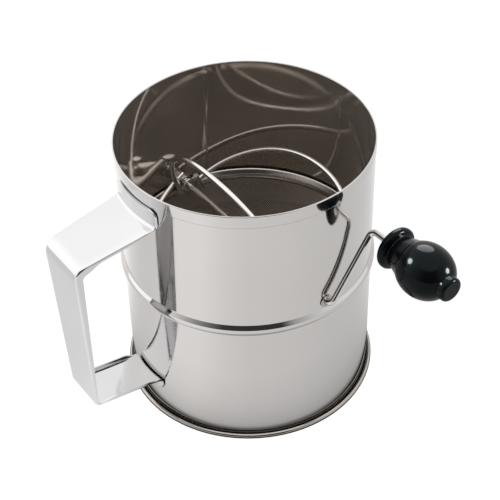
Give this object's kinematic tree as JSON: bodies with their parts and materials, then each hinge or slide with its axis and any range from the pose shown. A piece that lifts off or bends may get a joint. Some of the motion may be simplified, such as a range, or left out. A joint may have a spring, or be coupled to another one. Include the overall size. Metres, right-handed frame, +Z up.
{
  "type": "hand-crank flour sifter",
  "caption": "Open-ended steel cylinder with a bowl-shaped mesh inside, a side crank that sweeps bent wires over the mesh, a turning knob and a strap handle.",
  "frame": {"origin": "centre of the base, on the surface the sifter stands on", "axes": "+Z up the cylinder; +X along the crank's shaft towards the knob; the handle stands out on -Y"},
  "size_m": [0.2379, 0.2165, 0.1845],
  "materials": {
    "shell_steel": "polished stainless sheet",
    "handle_steel": "polished stainless sheet",
    "ring_steel": "polished stainless",
    "mesh_steel": "woven stainless wire",
    "wire_steel": "bright drawn wire",
    "black_plastic": "glossy black"
  },
  "bodies": {
    "sifter_body": {"body_shell": "shell_steel", "base_wire": "wire_steel", "screen": "mesh_steel", "screen_ring": "ring_steel", "screen_clamp_ring": "ring_steel", "bushing_near": "wire_steel", "bushing_far": "wire_steel", "handle": "handle_steel"},
    "agitator": {"crank_wire": "wire_steel", "collar_near": "wire_steel", "collar_far": "wire_steel", "thrust_washer_near": "wire_steel", "thrust_washer_far": "wire_steel", "retaining_washer": "wire_steel", "end_cap": "wire_steel", "bow_1": "wire_steel", "bow_2": "wire_steel", "bow_3": "wire_steel", "bow_4": "wire_steel", "knob_washer": "wire_steel", "knob_retainer": "wire_steel"},
    "knob_grip": {"knob": "black_plastic", "knob_end_plug": "black_plastic"}
  },
  "joints": [
    {"name": "crank_spin", "type": "hinge", "parent": "sifter_body", "child": "agitator", "pos_m": [0, 0, 0.1043], "axis": [1, 0, 0], "continuous": true},
    {"name": "knob_spin", "type": "hinge", "parent": "agitator", "child": "knob_grip", "pos_m": [0.129, 0.0329, 0.1448], "axis": [1, 0, 0], "continuous": true}
  ]
}
